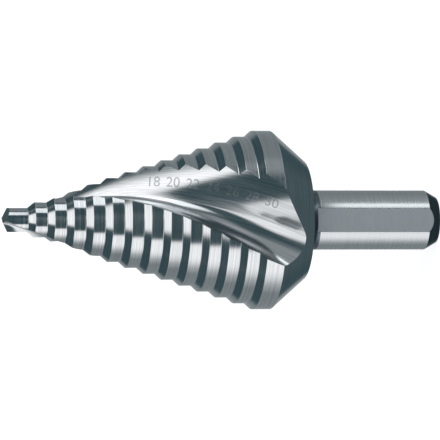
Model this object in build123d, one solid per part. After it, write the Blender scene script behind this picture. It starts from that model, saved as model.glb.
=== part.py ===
"""Step drill for sheet metal: one piece, turned and ground, standing on the end of its shank.

Millimetres, +Z up along the drill's own axis, point on top. The origin is the middle of the
shank's end face. Angles are degrees about +Z, counter-clockwise seen from the point.
"""
import os
from math import asin, cos, degrees, hypot, log, radians, sin, sqrt, tan

from build123d import *

# steps
step_count = 14            # diameters 4, 6, 8 ... 30
first_diameter = 4.0
diameter_step = 2.0
step_pitch = 3.07          # from one step to the next
pilot_length = 4.75        # from the very point to the middle of the first ramp
ramp_length = 1.1          # axial length of the ramp between two lands
last_land_length = 3.0     # full diameter, after the last ramp

# point
point_angle = 134.0        # included
point_relief = 18.0        # fall of each flank behind its lip

# back of the head
back_cone_angle = 41.0     # from the axis
back_rim_diameter = 20.0
neck_fillet = 2.0

# shank
shank_diameter = 10.0
shank_length = 23.0        # from the end face to the back of the head
end_chamfer_length = 2.0
end_face_diameter = 7.7
end_chamfer_crown = 20.0   # radius of the barely crowned, linished chamfer
flat_count = 3
flat_depth = 0.4
flat_run_in = 0.3          # how far a flat runs into the neck fillet
flat_azimuth = -90.0       # middle of the first flat

# flutes
flute_count = 2
rear_edge_azimuth = -121.0  # of one cutting edge where the last land ends
spiral_gain = 124.0         # turn of the flute for each e-fold of its distance from spiral_origin
spiral_origin = 24.0        # mm ahead of the point
web_diameter_point = 1.4    # core left between the flutes at the point
web_taper = 0.44            # growth of the core's diameter for each mm towards the shank
flute_clear = 0.5           # cutter reaches this far outside the steps
flute_chord_first = 1.6     # mouth of the flute measured straight across: this much ...
flute_chord_share = 0.86    # ... and this share of the radius
root_share = 0.4            # of the mouth's angle lies between cutting edge and flute root
heel_blend = 0.2            # how softly the root turns into the heel side
flute_stations = 9          # sections the flute is lofted through
flute_points = 4            # points on each side of a section

# derived
last_radius = (first_diameter + diameter_step * (step_count - 1)) / 2
first_radius = first_diameter / 2
radius_step = diameter_step / 2
shank_radius = shank_diameter / 2
point_length = first_radius / tan(radians(point_angle / 2))
last_ramp = pilot_length + step_pitch * (step_count - 2)
back_start = last_ramp + ramp_length / 2 + last_land_length
back_length = (last_radius - back_rim_diameter / 2) / tan(radians(back_cone_angle))
head_length = back_start + back_length
overall_length = head_length + shank_length


def height(from_point):
    """z of a place given by its distance from the very point."""
    return overall_length - from_point


# ------------------------------------------------------------------ turned blank
chamfer_start = (end_face_diameter / 2, 0)
chamfer_end = (shank_radius, end_chamfer_length)
neck_start = (shank_radius, shank_length - neck_fillet)
neck_end = (shank_radius + neck_fillet, shank_length)
head = [neck_end, (back_rim_diameter / 2, shank_length), (last_radius, height(back_start))]
for step in range(step_count - 2, -1, -1):
    ramp_middle = pilot_length + step_pitch * step
    small = first_radius + radius_step * step
    head.append((small + radius_step, height(ramp_middle + ramp_length / 2)))
    head.append((small, height(ramp_middle - ramp_length / 2)))
head += [(first_radius, height(0)), (0, height(0)), (0, 0)]

with BuildPart() as drill:
    with BuildSketch(Plane.XZ):
        with BuildLine():
            Line((0, 0), chamfer_start)
            RadiusArc(chamfer_start, chamfer_end, -end_chamfer_crown)
            Line(chamfer_end, neck_start)
            RadiusArc(neck_start, neck_end, neck_fillet)
            Polyline(*head)
        make_face()
    revolve(axis=Axis.Z)


# ------------------------------------------------------------------ flute cutter
def cone_radius(from_point):
    """Radius of the smooth cone through the middles of the ramps."""
    return first_radius + radius_step * (0.5 + (from_point - pilot_length) / step_pitch)


def edge_azimuth(from_point):
    """Azimuth of the first flute's cutting edge: a spiral of steady slope on a cone."""
    turn = log((back_start + spiral_origin) / (from_point + spiral_origin))
    return rear_edge_azimuth + spiral_gain * turn


def flute_section(from_point):
    """Closed outline of the flute at one height: a round root, then a straighter heel side."""
    outer = hypot(cone_radius(from_point) + flute_clear, first_radius)
    root = web_diameter_point / 2 + web_taper / 2 * from_point
    chord = flute_chord_first + flute_chord_share * outer
    mouth = 2 * degrees(asin(chord / (2 * outer)))
    edge = edge_azimuth(from_point)

    shares = []
    for k in range(flute_points):
        lift = cos(radians(90 * k / flute_points))
        shares.append((root_share * (1 - lift), 1 - sqrt(1 - lift**2)))
    steepest = hypot(1, heel_blend) - heel_blend
    for k in range(flute_points + 1):
        reach = k / flute_points
        rise = (hypot(reach, heel_blend) - heel_blend) / steepest
        shares.append((root_share + (1 - root_share) * reach, rise))

    def place(share, rise):
        azimuth = radians(edge + mouth * share)
        radius = root + (outer - root) * rise
        return Vector(radius * cos(azimuth), radius * sin(azimuth), height(from_point))

    # evenly spaced parameters, alike in every section, keep the lofted surface simple
    spacing = [k / (len(shares) - 1) for k in range(len(shares))]
    groove = Edge.make_spline([place(share, rise) for share, rise in shares], parameters=spacing)
    rim = ThreePointArc(groove @ 1, place(0.5, 1), groove @ 0)
    return Face(Wire([groove, rim]))


first_station = -flute_clear
last_station = head_length + flute_clear
stations = [
    first_station + (last_station - first_station) * k / (flute_stations - 1)
    for k in range(flute_stations)
]
cutter = loft([flute_section(station) for station in stations])

body = drill.part
for turn in range(flute_count):
    body -= Rot(0, 0, 360 / flute_count * turn) * cutter

# ------------------------------------------------------------------ point
# each flank is a plane through the chisel edge: it falls outwards by the point angle and
# backwards, behind its own lip, by the relief
slope_out = 1 / tan(radians(point_angle / 2))
slope_back = tan(radians(point_relief))
flank_azimuth = edge_azimuth(point_length)
flank_normal = Vector(slope_out, -slope_back, 1)
flank = Plane(origin=(0, 0, height(0)), x_dir=(0, 1, slope_back), z_dir=flank_normal)
above = flank * Box(6 * first_diameter, 6 * first_diameter, first_diameter,
                    align=(Align.CENTER, Align.CENTER, Align.MIN))
for turn in range(flute_count):
    body -= Rot(0, 0, flank_azimuth + 360 / flute_count * turn) * above

# ------------------------------------------------------------------ shank flats
flat_length = shank_length - neck_fillet + flat_run_in
flat_cut = Pos(shank_radius - flat_depth, 0, 0) * Box(
    shank_radius, shank_diameter, flat_length, align=(Align.MIN, Align.CENTER, Align.MIN))
for turn in range(flat_count):
    body -= Rot(0, 0, flat_azimuth + 360 / flat_count * turn) * flat_cut

os.makedirs("parts", exist_ok=True)
export_step(body, "parts/drill_body.step")
print("solids", len(body.solids()), "valid", body.is_valid, "volume", body.volume)
print("bounds", body.bounding_box())
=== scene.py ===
"""Looks of a step drill: ground high-speed steel in a studio of soft cards.

Blender works in metres, +Z up; the drill stands on the end of its shank with its point on top.
Sizes are in millimetres and degrees where no comment says otherwise.
"""

from math import asin, atan2, cos, degrees, e, hypot, log, pi, radians, sin, sqrt, tan

import bpy
from mathutils import Matrix, Vector


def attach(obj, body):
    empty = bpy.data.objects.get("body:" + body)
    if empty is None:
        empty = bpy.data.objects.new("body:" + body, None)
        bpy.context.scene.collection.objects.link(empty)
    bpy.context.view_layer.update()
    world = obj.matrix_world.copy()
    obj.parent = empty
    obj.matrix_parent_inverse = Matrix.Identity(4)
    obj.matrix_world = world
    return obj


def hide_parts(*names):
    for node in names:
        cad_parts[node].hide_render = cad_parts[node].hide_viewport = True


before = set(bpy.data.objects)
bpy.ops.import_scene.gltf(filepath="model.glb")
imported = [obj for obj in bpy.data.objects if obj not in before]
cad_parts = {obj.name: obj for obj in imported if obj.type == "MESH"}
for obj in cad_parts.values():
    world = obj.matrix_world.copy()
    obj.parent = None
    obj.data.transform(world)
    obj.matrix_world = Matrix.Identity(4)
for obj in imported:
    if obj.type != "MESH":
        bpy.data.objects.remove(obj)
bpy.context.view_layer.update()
MM = 0.001
scene = bpy.context.scene
scene.view_settings.view_transform = "Standard"


def linear(code):
    """sRGB hex to linear colour, opaque."""
    channels = [int(code[k:k + 2], 16) / 255 for k in (1, 3, 5)]
    curve = [c / 12.92 if c <= 0.04045 else ((c + 0.055) / 1.055) ** 2.4 for c in channels]
    return (*curve, 1.0)


def node(tree, kind, inputs=None, **settings):
    """Adds one node: settings are its attributes, inputs are its sockets' values or links."""
    made = tree.nodes.new(kind)
    for name, value in settings.items():
        setattr(made, name, value)
    for socket, value in (inputs or {}).items():
        if isinstance(value, bpy.types.NodeSocket):
            tree.links.new(value, made.inputs[socket])
        else:
            made.inputs[socket].default_value = value
    return made


# ------------------------------------------------------------------ camera
# It looks across the upright drill from a little above, rolled so that the point is on the left.
TILT = radians(11.0)
DISTANCE = 600.0
FOCAL_PIXELS = 3581.0      # focal length, for an image of IMAGE pixels
IMAGE = 440
SENSOR = 36.0
AIM_HEIGHT = 37.89
ACROSS = -0.79             # the image's centre lies this far from the aim, along the drill

forward = Vector((0, cos(TILT), -sin(TILT)))
right = Vector((0, -sin(TILT), -cos(TILT)))
up = Vector((1, 0, 0))
eye = Vector((0, 0, AIM_HEIGHT)) - forward * DISTANCE - right * ACROSS
bpy.ops.object.camera_add()
camera = bpy.context.object
camera.name = "camera"
camera.matrix_world = Matrix.Translation(eye * MM) @ Matrix(
    (right, up, -forward)).transposed().to_4x4()
camera.data.sensor_width = SENSOR
camera.data.lens = FOCAL_PIXELS / IMAGE * SENSOR
camera.data.clip_start = 0.01      # both in metres
camera.data.clip_end = 50
scene.camera = camera

# ------------------------------------------------------------------ sizes, mm and degrees
STEPS = 14
FIRST_RADIUS = 2.0
RADIUS_STEP = 1.0
PITCH = 3.07               # from one ramp to the next
PILOT = 4.75               # from the point to the middle of the first ramp
RAMP = 1.1                 # length of a ramp along the drill
LAST_LAND = 3.0
BACK_ANGLE = 41.0          # of the cone behind the last land
RIM_RADIUS = 10.0          # where that cone ends
NECK_FILLET = 2.0
SHANK_RADIUS = 5.0
SHANK_LENGTH = 23.0
CHAMFER_LENGTH = 2.0
END_RADIUS = 3.85
FLAT_DISTANCE = 4.6        # from the axis
FLAT_LENGTH = SHANK_LENGTH - NECK_FILLET + 0.3  # the flats run out in the neck's fillet
POINT_ANGLE = 134.0
POINT_RELIEF = 18.0
EDGE_AT_BACK = -121.0      # azimuth of a cutting edge where the last land ends
SPIRAL_GAIN = 124.0        # how fast the edge turns towards the point
SPIRAL_ORIGIN = 24.0       # the spiral's own cone would end this far before the point
WEB_RADIUS = 0.7           # at the point
WEB_TAPER = 0.22           # the web grows by this for each mm
FLUTE_CLEAR = 0.5          # the cutter stands this far out of the cone and past its ends
CHORD_FIRST = 1.6          # the flute's mouth is this wide, plus a share of the cone's radius
CHORD_SHARE = 0.86
ROOT_SHARE = 0.4           # the flute's deepest line, as a share of its mouth from the lip
HEEL_BLEND = 0.2           # how gently the root turns into the heel's wall
RAKE_END = 0.35            # places round the flute's section where the rake face ends ...
HEEL_END = 0.85            # ... and where the heel's wall is out of the cone
LAST_RADIUS = FIRST_RADIUS + RADIUS_STEP * (STEPS - 1)
BACK_START = PILOT + PITCH * (STEPS - 2) + RAMP / 2 + LAST_LAND
HEAD_LENGTH = BACK_START + (LAST_RADIUS - RIM_RADIUS) / tan(radians(BACK_ANGLE))
LENGTH = HEAD_LENGTH + SHANK_LENGTH
PAINTED_SHADE_START = SHANK_LENGTH - NECK_FILLET - 0.2   # the neck's painted shade reaches down to here
CUTTER_LENGTH = HEAD_LENGTH + 2 * FLUTE_CLEAR
HALF_TURNS = (0, 180)      # the drill has two lips and two flutes
FLAT_TURNS = (-90, 30, 150)
AROUND = 288               # faces round the blank
CUTTER_ALONG = 120         # faces of the flute's cutter
CUTTER_AROUND = 60
POINT_STOCK = 1.0          # stock above the point, ground away with its flanks
SPLIT_REACH = 1e-7         # metres; a coarser cut tears the blank's small faces at the point
CREST_ROUND = 0.10         # the grinding wheel leaves the steps' edges barely broken
FOOT_ROUND = 0.25          # radius that the wheel's corner leaves at a ramp's foot
END_BREAK = 0.08
CHAMFER_ROUND = 0.3
RIM_ROUND = 0.12
EDGE_PARTS = 4             # faces across a broken edge
FILLET_PARTS = 8           # faces across the neck's fillet

# ------------------------------------------------------------------ turned blank


def rounded(before, corner, after, radius, parts):
    """Points of a small arc that breaks a corner of the outline."""
    a = (Vector(before) - Vector(corner)).normalized()
    b = (Vector(after) - Vector(corner)).normalized()
    half = a.angle(b) / 2
    reach = radius / tan(half)
    middle = Vector(corner) + (a + b).normalized() * (radius / sin(half))
    start, stop = Vector(corner) + a * reach, Vector(corner) + b * reach
    from_angle = atan2(*(start - middle).yx)
    turn = atan2(*(stop - middle).yx) - from_angle
    turn = (turn + pi) % (2 * pi) - pi
    return [middle + Vector((cos(from_angle + turn * k / parts),
                             sin(from_angle + turn * k / parts))) * radius
            for k in range(parts + 1)]


# radius, height and rounding of each corner, from the end face up
corners = [(END_RADIUS, 0, END_BREAK), (SHANK_RADIUS, CHAMFER_LENGTH, CHAMFER_ROUND),
           (SHANK_RADIUS, PAINTED_SHADE_START, 0), (SHANK_RADIUS, SHANK_LENGTH, NECK_FILLET),
           (RIM_RADIUS, SHANK_LENGTH, RIM_ROUND),
           (LAST_RADIUS, LENGTH - BACK_START, RIM_ROUND)]
for step in range(STEPS - 2, -1, -1):
    small = FIRST_RADIUS + RADIUS_STEP * step
    middle = LENGTH - PILOT - PITCH * step
    corners += [(small + RADIUS_STEP, middle - RAMP / 2, CREST_ROUND),
                (small, middle + RAMP / 2, FOOT_ROUND)]
corners = [(0.0, 0.0, 0)] + corners + [(FIRST_RADIUS, LENGTH + POINT_STOCK, 0)]
outline = []
for k in range(1, len(corners) - 1):
    before, corner, after = (c[:2] for c in corners[k - 1:k + 2])
    radius = corners[k][2]
    if radius:
        parts = FILLET_PARTS if radius == NECK_FILLET else EDGE_PARTS
        outline += rounded(before, corner, after, radius, parts)
    else:
        outline.append(Vector(corner))
outline.append(Vector(corners[-1][:2]))

bpy.ops.object.select_all(action="DESELECT")
bpy.ops.mesh.primitive_circle_add(vertices=AROUND, radius=outline[0].x * MM, fill_type="NGON",
                                  location=(0, 0, outline[0].y * MM))
drill = bpy.context.object
drill.name = "drill"
bpy.ops.object.transform_apply(location=True)
bpy.ops.object.mode_set(mode="EDIT")
bpy.ops.mesh.select_all(action="SELECT")
for here, there in zip(outline, outline[1:]):
    bpy.ops.mesh.extrude_region_move(
        TRANSFORM_OT_translate={"value": (0, 0, (there.y - here.y) * MM)})
    grow = there.x / here.x
    bpy.ops.transform.resize(value=(grow, grow, 1))
# the point: a flat flank falls away behind each lip
flank = Vector((1 / tan(radians(POINT_ANGLE / 2)), -tan(radians(POINT_RELIEF)), 1))


def edge_azimuth(from_point):
    """Azimuth of a cutting edge: a spiral of steady slope on the drill's cone."""
    turn = log((BACK_START + SPIRAL_ORIGIN) / (from_point + SPIRAL_ORIGIN))
    return EDGE_AT_BACK + SPIRAL_GAIN * turn


lip_turn = edge_azimuth(FIRST_RADIUS / tan(radians(POINT_ANGLE / 2)))
for half_turn in HALF_TURNS:
    bpy.ops.mesh.select_all(action="SELECT")
    bpy.ops.mesh.bisect(
        plane_co=(0, 0, LENGTH * MM),
        plane_no=Matrix.Rotation(radians(lip_turn + half_turn), 3, "Z") @ flank,
        use_fill=True, clear_outer=True, threshold=SPLIT_REACH)
bpy.ops.object.mode_set(mode="OBJECT")


# ------------------------------------------------------------------ flutes
def cone_radius(from_point):
    """Radius of the plain cone that cuts every ramp in half."""
    return FIRST_RADIUS + RADIUS_STEP * (0.5 + (from_point - PILOT) / PITCH)


def groove(along, around):
    """Point of the flute cutter: along 0..1 from point to back, around 0..1 round its section."""
    from_point = -FLUTE_CLEAR + CUTTER_LENGTH * along
    outer = hypot(cone_radius(from_point) + FLUTE_CLEAR, FIRST_RADIUS)
    root = WEB_RADIUS + WEB_TAPER * from_point
    mouth = 2 * degrees(asin((CHORD_FIRST + CHORD_SHARE * outer) / (2 * outer)))
    if around < RAKE_END:
        lift = cos(pi / 2 * around / RAKE_END)
        share, rise = ROOT_SHARE * (1 - lift), 1 - sqrt(max(0, 1 - lift ** 2))
    elif around < HEEL_END:
        reach = (around - RAKE_END) / (HEEL_END - RAKE_END)
        share = ROOT_SHARE + (1 - ROOT_SHARE) * reach
        rise = ((hypot(reach, HEEL_BLEND) - HEEL_BLEND)
                / (hypot(1, HEEL_BLEND) - HEEL_BLEND))
    else:
        share, rise = 1 - (around - HEEL_END) / (1 - HEEL_END), 1
    azimuth = radians(edge_azimuth(from_point) + mouth * share)
    radius = (root + (outer - root) * rise) * MM
    return radius * cos(azimuth), radius * sin(azimuth), (LENGTH - from_point) * MM


bpy.ops.mesh.primitive_grid_add(x_subdivisions=CUTTER_ALONG, y_subdivisions=CUTTER_AROUND, size=2)
cutter = bpy.context.object
for vertex in cutter.data.vertices:        # from -1..1 to 0..1
    along, around = (vertex.co.x + 1) / 2, (vertex.co.y + 1) / 2
    vertex.co = groove(along, around)
bpy.ops.object.mode_set(mode="EDIT")
bpy.ops.mesh.select_all(action="SELECT")
bpy.ops.mesh.remove_doubles(threshold=1e-6)
bpy.ops.mesh.select_all(action="DESELECT")
bpy.ops.mesh.select_non_manifold()
bpy.ops.mesh.fill_holes(sides=0)
bpy.ops.mesh.select_all(action="SELECT")
bpy.ops.mesh.normals_make_consistent(inside=False)
bpy.ops.object.mode_set(mode="OBJECT")

# ------------------------------------------------------------------ flats
WHEEL_THICK = 2.0          # the block that stands for the grinding wheel
WHEEL_WIDE = 12.0
bpy.ops.mesh.primitive_cube_add(size=1)
flat = bpy.context.object
flat.scale = (WHEEL_THICK * MM, WHEEL_WIDE * MM, 2 * FLAT_LENGTH * MM)
bpy.ops.object.transform_apply(location=True, scale=True)
flat.location = ((FLAT_DISTANCE + WHEEL_THICK / 2) * MM, 0, 0)
bpy.ops.object.transform_apply(location=True)


def cut(tool, turns, slot):
    """Takes the tool out of the drill once for each turn; its faces get that material slot."""
    for turn in turns:
        tool.rotation_euler.z = radians(turn)
        bpy.context.view_layer.update()
        for face in tool.data.polygons:
            face.material_index = slot
        difference = drill.modifiers.new("cut", "BOOLEAN")
        difference.operation = "DIFFERENCE"
        difference.solver = "EXACT"
        difference.material_mode = "INDEX"
        difference.object = tool
        with bpy.context.temp_override(object=drill, active_object=drill):
            bpy.ops.object.modifier_apply(modifier=difference.name)
    bpy.data.objects.remove(tool)


# ------------------------------------------------------------------ steel
# the fifth slot, for the neck and the end chamfer, carries painted shade in its colour
HEAD, FLUTE, FLAT, SHANK, PAINTED_SHADE = range(5)
GRIND_LINE = 0.16          # mm; real grinding lines are 0.02 to 0.05, too fine to show
FLUTE_LINE = 0.20          # mm at the widest part of the head
SLOW_LINE = 9.0            # mm; the rings come and go over this distance
SLOW_WAY = (0.7, 0.7, 0)   # ... along this line across the drill
STREAK = 0.012             # the noise along the flutes is this share as fine as across them
TONE_SPAN = (0.35, 0.65)   # the part of the noise's range that the tone runs over
POLISH_SPAN = (0.3, 0.7)   # ... and the roughness


def steel(name, colour, roughness):
    """Bare steel: a neutral grey metal; its tree and shader come with it."""
    material = bpy.data.materials.new(name)
    material.use_nodes = True
    bsdf = material.node_tree.nodes["Principled BSDF"]
    bsdf.inputs["Metallic"].default_value = 1.0
    bsdf.inputs["Base Color"].default_value = linear(colour)
    bsdf.inputs["Roughness"].default_value = roughness
    return material, material.node_tree, bsdf


def lined(name, coordinates, spacing, tones, roughness, depth):
    """Steel with fine parallel lines: one noise steers its tone, roughness and relief (mm)."""
    (dark, light), (smooth, rough) = tones, roughness
    material, tree, bsdf = steel(name, light, rough)
    where = coordinates(tree, spacing)
    lines = node(tree, "ShaderNodeTexNoise", {"Vector": where, "Scale": 1.0, "Detail": 2.0})
    shade = node(tree, "ShaderNodeMapRange",
                 {0: lines.outputs[0], 1: TONE_SPAN[0], 2: TONE_SPAN[1], 3: 0.0, 4: 1.0})
    tone = node(tree, "ShaderNodeMix",
                {0: shade.outputs[0], 6: linear(dark), 7: linear(light)}, data_type="RGBA")
    tree.links.new(tone.outputs[2], bsdf.inputs["Base Color"])
    polish = node(tree, "ShaderNodeMapRange",
                  {0: lines.outputs[0], 1: POLISH_SPAN[0], 2: POLISH_SPAN[1], 3: smooth, 4: rough})
    tree.links.new(polish.outputs[0], bsdf.inputs["Roughness"])
    relief = node(tree, "ShaderNodeBump", {"Height": lines.outputs[0], "Strength": 1.0,
                                           "Distance": depth * MM})
    tree.links.new(relief.outputs[0], bsdf.inputs["Normal"])
    return material


def round_the_axis(tree, spacing):
    """Coordinates whose noise runs in rings: spacing mm along the outline, long round it."""
    where = node(tree, "ShaderNodeTexCoord")
    flat = node(tree, "ShaderNodeVectorMath", {0: where.outputs["Object"], 1: (1, 1, 0)},
                operation="MULTIPLY")
    radius = node(tree, "ShaderNodeVectorMath", {0: flat.outputs[0]}, operation="LENGTH")
    split = node(tree, "ShaderNodeSeparateXYZ", {0: where.outputs["Object"]})
    rings = node(tree, "ShaderNodeCombineXYZ", {0: radius.outputs["Value"], 1: split.outputs[2]})
    fine = node(tree, "ShaderNodeVectorMath", {0: rings.outputs[0], 3: 1 / (spacing * MM)},
                operation="SCALE")
    slow = node(tree, "ShaderNodeVectorMath", {0: flat.outputs[0], 3: 1 / (SLOW_LINE * MM)},
                operation="SCALE")
    # the slow part only lets the lines come and go round the axis
    turn = node(tree, "ShaderNodeVectorMath", {0: slow.outputs[0], 1: SLOW_WAY},
                operation="DOT_PRODUCT")
    fade = node(tree, "ShaderNodeCombineXYZ", {2: turn.outputs["Value"]})
    return node(tree, "ShaderNodeVectorMath", {0: fine.outputs[0], 1: fade.outputs[0]}).outputs[0]


def along_the_flute(tree, spacing):
    """Coordinates whose noise runs along the flutes: untwisted by the flute's own spiral."""
    where = node(tree, "ShaderNodeTexCoord")
    split = node(tree, "ShaderNodeSeparateXYZ", {0: where.outputs["Object"]})
    ahead = node(tree, "ShaderNodeMath", {0: (LENGTH + SPIRAL_ORIGIN) * MM, 1: split.outputs[2]},
                 operation="SUBTRACT")
    share = node(tree, "ShaderNodeMath", {0: (BACK_START + SPIRAL_ORIGIN) * MM,
                                          1: ahead.outputs[0]}, operation="DIVIDE")
    turns = node(tree, "ShaderNodeMath", {0: share.outputs[0], 1: e},
                 operation="LOGARITHM")
    angle = node(tree, "ShaderNodeMath", {0: turns.outputs[0], 1: -radians(SPIRAL_GAIN)},
                 operation="MULTIPLY")
    untwisted = node(tree, "ShaderNodeVectorRotate",
                     {"Vector": where.outputs["Object"], "Angle": angle.outputs[0]},
                     rotation_type="Z_AXIS")
    # the flute widens with the cone, and its lines spread with it
    cone = node(tree, "ShaderNodeMath", {0: split.outputs[2], 1: -RADIUS_STEP / PITCH,
                                         2: cone_radius(LENGTH) * MM}, operation="MULTIPLY_ADD")
    spread = node(tree, "ShaderNodeMath", {0: LAST_RADIUS / spacing, 1: cone.outputs[0]},
                  operation="DIVIDE")
    wide = node(tree, "ShaderNodeVectorMath", {0: untwisted.outputs[0], 3: spread.outputs[0]},
                operation="SCALE")
    return node(tree, "ShaderNodeVectorMath", {0: wide.outputs[0], 1: (1, 1, STREAK)},
                operation="MULTIPLY").outputs[0]


def head_steel():
    """High-speed steel, cylindrically ground: near-mirror lands crossed by fine rings."""
    return lined("ground_high_speed_steel", round_the_axis, GRIND_LINE,
                 ("#bbbfc2", "#ced1d3"), (0.11, 0.17), 0.00012)


def flute_steel():
    """The same steel, form-ground along the flute: bright, with long streaks."""
    return lined("form_ground_flute_steel", along_the_flute, FLUTE_LINE,
                 ("#b9bdc0", "#d0d3d5"), (0.13, 0.19), 0.0002)


def flat_steel():
    """Surface-ground flats: an even grey sheen."""
    return lined("surface_ground_steel", round_the_axis, GRIND_LINE,
                 ("#c8ccd0", "#d0d3d7"), (0.52, 0.58), 0.0003)


def shank_steel():
    """Centreless-ground shank: satin, with a broad soft highlight."""
    return lined("centreless_ground_steel", round_the_axis, GRIND_LINE,
                 ("#c0c4c7", "#cbced1"), (0.23, 0.29), 0.0003)


def skin_steel():
    """Turned neck and chamfer in dark bluish steel: painted shade that stands in for the darkened
    reflections under the head and at the end.
    """
    return lined("steel_painted_with_shade", round_the_axis, GRIND_LINE,
                 ("#5c686e", "#6a767c"), (0.27, 0.33), 0.0005)


finishes = [head_steel(), flute_steel(), flat_steel(), shank_steel(), skin_steel()]
SMOOTH_ANGLE = 24.0        # edges that turn further stay crisp
FACE_WEIGHT = 80           # large faces lead the shading of what lies between them
for tool in (drill, cutter, flat):
    for finish in finishes:
        tool.data.materials.append(finish)
for face in drill.data.polygons:
    height = face.center.z / MM
    if height < SHANK_LENGTH:
        # the neck's fillet and the end chamfer get the steel with painted shade
        in_painted_shade = height < CHAMFER_LENGTH or height > PAINTED_SHADE_START
        face.material_index = PAINTED_SHADE if in_painted_shade else SHANK
cut(cutter, HALF_TURNS, FLUTE)
cut(flat, FLAT_TURNS, FLAT)
bpy.ops.object.select_all(action="DESELECT")
drill.select_set(True)
bpy.context.view_layer.objects.active = drill
bpy.ops.object.shade_smooth_by_angle(angle=radians(SMOOTH_ANGLE))
# the flutes' edges stay sharp, also where they meet the head at a flat angle
beside = {}
for face in drill.data.polygons:
    for key in face.edge_keys:
        beside.setdefault(key, set()).add(face.material_index)
for edge in drill.data.edges:
    if FLUTE in beside[edge.key] and len(beside[edge.key]) > 1:
        edge.use_edge_sharp = True
weigh = drill.modifiers.new("weigh", "WEIGHTED_NORMAL")
weigh.keep_sharp = True
weigh.weight = FACE_WEIGHT
bpy.ops.object.modifier_apply(modifier=weigh.name)
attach(drill, "root")
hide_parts("drill_body")

# ------------------------------------------------------------------ figures
# Plain step sizes in mm, beside the larger steps on the wall of both flutes.
FIGURE_HIGH = 1.7
FIGURE_HALF = 0.02         # half the thickness: one half lies in the steel
FIGURE_AROUND = 0.6        # place round the groove's section
FIGURE_CUTS = 2            # lets each figure bend with the wall
FIRST_FIGURE = 7           # counted in steps from the pilot
CAP_SHARE = 0.7            # a figure's height as a share of the text's size
NUDGE = 0.001              # share of the groove over which its slopes are taken


def etched():
    """Figures burnt in by laser: a thin matt oxide that dulls the ground wall."""
    return steel("laser_etched_oxide", "#a7acaf", 0.27)[0]


oxide = etched()
for step in range(FIRST_FIGURE, STEPS):
    diameter = 2 * int(FIRST_RADIUS + RADIUS_STEP * step)
    along = (PILOT + PITCH * (step - 0.5) + FLUTE_CLEAR) / CUTTER_LENGTH
    here = Vector(groove(along, FIGURE_AROUND))
    ahead = (Vector(groove(along + NUDGE, FIGURE_AROUND)) - here) / NUDGE
    round_it = (Vector(groove(along, FIGURE_AROUND + NUDGE)) - here) / NUDGE
    line = ahead.normalized()
    out = ahead.cross(round_it).normalized()
    rise = out.cross(line)
    for turn in HALF_TURNS:
        bpy.ops.object.text_add()
        figure = bpy.context.object
        figure.name = f"figure_{diameter}_{turn}"
        figure.data.body = str(diameter)
        figure.data.align_x, figure.data.align_y = "CENTER", "CENTER"
        figure.data.size = FIGURE_HIGH / CAP_SHARE
        figure.data.extrude = FIGURE_HALF
        figure.data.resolution_u = 3
        bpy.ops.object.convert(target="MESH")
        bpy.ops.object.mode_set(mode="EDIT")
        bpy.ops.mesh.select_all(action="SELECT")
        bpy.ops.mesh.remove_doubles(threshold=1e-5)
        bpy.ops.mesh.subdivide(number_cuts=FIGURE_CUTS)
        bpy.ops.mesh.normals_make_consistent(inside=False)
        bpy.ops.object.mode_set(mode="OBJECT")
        for vertex in figure.data.vertices:
            x, y, depth = vertex.co * MM
            part = y / rise.dot(round_it)
            place = Vector(groove(along + (x - part * line.dot(round_it)) / ahead.length,
                                  FIGURE_AROUND + part))
            vertex.co = Matrix.Rotation(radians(turn), 3, "Z") @ (place + out * depth)
        figure.data.materials.append(oxide)
        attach(figure, "root")

# ------------------------------------------------------------------ floor
# White to the camera, and still darkened by the drill's own shadow.
FLOOR_GLOW = 0.82          # with the cards' light on the chalk, this makes white
FLOOR_SIDE = 6             # metres
FLOOR_GAP = 0.02           # mm, keeps the floor off the end face
bpy.ops.mesh.primitive_plane_add(size=FLOOR_SIDE, location=(0, 0, -FLOOR_GAP * MM))
floor = bpy.context.object
floor.name = "floor"
floor.visible_glossy = False       # the steel mirrors the dark studio, not the white floor
floor.visible_shadow = False
paint = bpy.data.materials.new("white_floor")
paint.use_nodes = True
tree = paint.node_tree
tree.nodes.clear()
chalk = node(tree, "ShaderNodeBsdfDiffuse", {"Color": linear("#d9d9d9")})
path = node(tree, "ShaderNodeLightPath")
own = node(tree, "ShaderNodeMath", {0: path.outputs["Is Camera Ray"], 1: FLOOR_GLOW},
           operation="MULTIPLY")
glow = node(tree, "ShaderNodeEmission", {"Color": (1, 1, 1, 1), "Strength": own.outputs[0]})
lit = node(tree, "ShaderNodeAddShader", {0: chalk.outputs[0], 1: glow.outputs[0]})
node(tree, "ShaderNodeOutputMaterial", {"Surface": lit.outputs[0]})
floor.data.materials.append(paint)

# ------------------------------------------------------------------ studio
# Soft cards round the drill. A card's side is its azimuth seen from the drill, 0 at the camera
# and positive towards -X; its lift is its height, both in degrees. Between them it is dark teal.
# Two near panels light what far cards can't light alone: the shank and the steps at the point.


def panel(name, side_angle, away, height, wide, high, level):
    """Small soft box near the drill, upright and turned to its axis; a level of 1 is white."""
    bpy.ops.object.light_add(type="AREA")
    lamp = bpy.context.object
    lamp.name = name
    lamp.data.shape = "RECTANGLE"
    lamp.data.size, lamp.data.size_y = wide * MM, high * MM
    lamp.data.energy = level * pi * wide * high * MM ** 2
    lamp.location = (-away * sin(side_angle) * MM, -away * cos(side_angle) * MM, height * MM)
    lamp.rotation_euler = (radians(90), 0, -side_angle)


panel("shank_panel", radians(-52), away=22, height=3, wide=6, high=24, level=1.5)
panel("tip_panel", radians(-62), away=70, height=54, wide=40, high=26, level=1.4)

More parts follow.
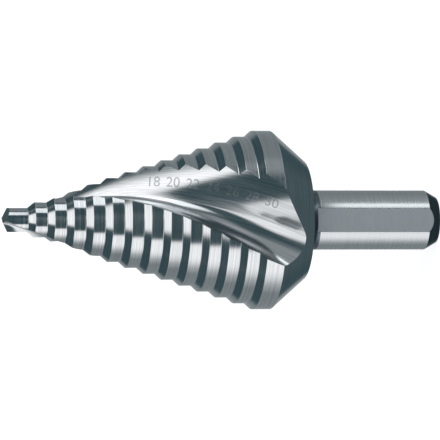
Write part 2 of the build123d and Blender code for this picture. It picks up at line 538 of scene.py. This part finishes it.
world = bpy.data.worlds.new("studio")
scene.world = world
world.use_nodes = True
sky = world.node_tree
sky.nodes.clear()
where = node(sky, "ShaderNodeTexCoord")
split = node(sky, "ShaderNodeSeparateXYZ", {0: where.outputs["Generated"]})
to_camera = node(sky, "ShaderNodeMath", {0: split.outputs[1], 1: -1.0}, operation="MULTIPLY")
to_left = node(sky, "ShaderNodeMath", {0: split.outputs[0], 1: -1.0}, operation="MULTIPLY")
turned = node(sky, "ShaderNodeMath", {0: to_left.outputs[0], 1: to_camera.outputs[0]},
              operation="ARCTAN2")
side = node(sky, "ShaderNodeMath", {0: turned.outputs[0]}, operation="DEGREES").outputs[0]
raised = node(sky, "ShaderNodeMath", {0: split.outputs[2]}, operation="ARCSINE")
lift = node(sky, "ShaderNodeMath", {0: raised.outputs[0]}, operation="DEGREES").outputs[0]


def card(sides, lifts, level, blur=(10, 10, 8, 8), slant=0.0):
    """Brightness of one card; blur is how soft its left, right, lower and upper edges are.

    A slanted card's lift grows with its side. A side past 180 or a lift past 90 has no edge.
    """
    upright = node(sky, "ShaderNodeMath", {0: side, 1: -slant, 2: lift},
                   operation="MULTIPLY_ADD").outputs[0]
    bright = level
    edges = ((side, sides[0], 0), (side, sides[1], 1),
             (upright, lifts[0], 0), (upright, lifts[1], 1))
    for (value, edge, before), soft in zip(edges, blur):
        ramp = node(sky, "ShaderNodeMapRange",
                    {0: value, 1: edge - soft / 2, 2: edge + soft / 2, 3: before, 4: 1 - before},
                    interpolation_type="SMOOTHSTEP")
        bright = node(sky, "ShaderNodeMath", {0: ramp.outputs[0], 1: bright},
                      operation="MULTIPLY").outputs[0]
    return bright


DARK = (0.06, 0.104, 0.118)        # the studio between the cards
WARM = (1.05, 1.0, 0.99)           # the cards are a shade warmer than the steel
cards = [
    card((-90, -3), (35, 57), 1.6, blur=(26, 14, 8, 14), slant=0.385),   # key bank
    card((42, 88), (-28, 8), 1.3, blur=(9, 44, 10, 10)),           # strip on the near side,
    card((54, 88), (8, 44), 1.1, blur=(8, 30, 10, 10)),            # set back higher up
    card((-14, 50), (1.5, 20.5), 1.3, blur=(16, 16, 4, 5), slant=0.13),   # low front panel
    card((-90, -60), (-20, -8), 0.3, blur=(20, 20, 6, 6)),         # thin strip on the far side
    card((-110, -5), (-42, -17), 0.3, blur=(20, 20, 6, 6)),        # fill under the rake faces
    card((-200, -92), (-30, 14), 0.2, blur=(16, 16, 8, 8)),        # fills behind
    card((96, 200), (-30, 14), 0.22, blur=(16, 16, 8, 8)),
    card((-200, -166), (-60, 60), 0.15, blur=(20, 20, 20, 20)),    # white backdrop, mostly flagged
    card((166, 200), (-60, 60), 0.15, blur=(20, 20, 20, 20)),
    card((-80, 45), (60, 95), 1.4, blur=(22, 22, 6, 6)),           # overhead bank for the ramps
    card((-125, -98), (46, 64), 0.2, blur=(12, 12, 6, 6)),
    card((-400, 400), (-100, -50), 0.03, blur=(1, 1, 1, 20)),      # table below, all round
]
total = cards[0]
for more in cards[1:]:
    total = node(sky, "ShaderNodeMath", {0: total, 1: more}, operation="ADD").outputs[0]
light = node(sky, "ShaderNodeVectorMath", {0: total, 1: WARM, 2: DARK},
             operation="MULTIPLY_ADD")
studio = node(sky, "ShaderNodeBackground", {"Color": light.outputs[0]})
plain = node(sky, "ShaderNodeBackground", {"Color": (1, 1, 1, 1)})
seen = node(sky, "ShaderNodeLightPath")
blend = node(sky, "ShaderNodeMixShader",
             {"Fac": seen.outputs["Is Camera Ray"], 1: studio.outputs[0], 2: plain.outputs[0]})
node(sky, "ShaderNodeOutputWorld", {"Surface": blend.outputs[0]})
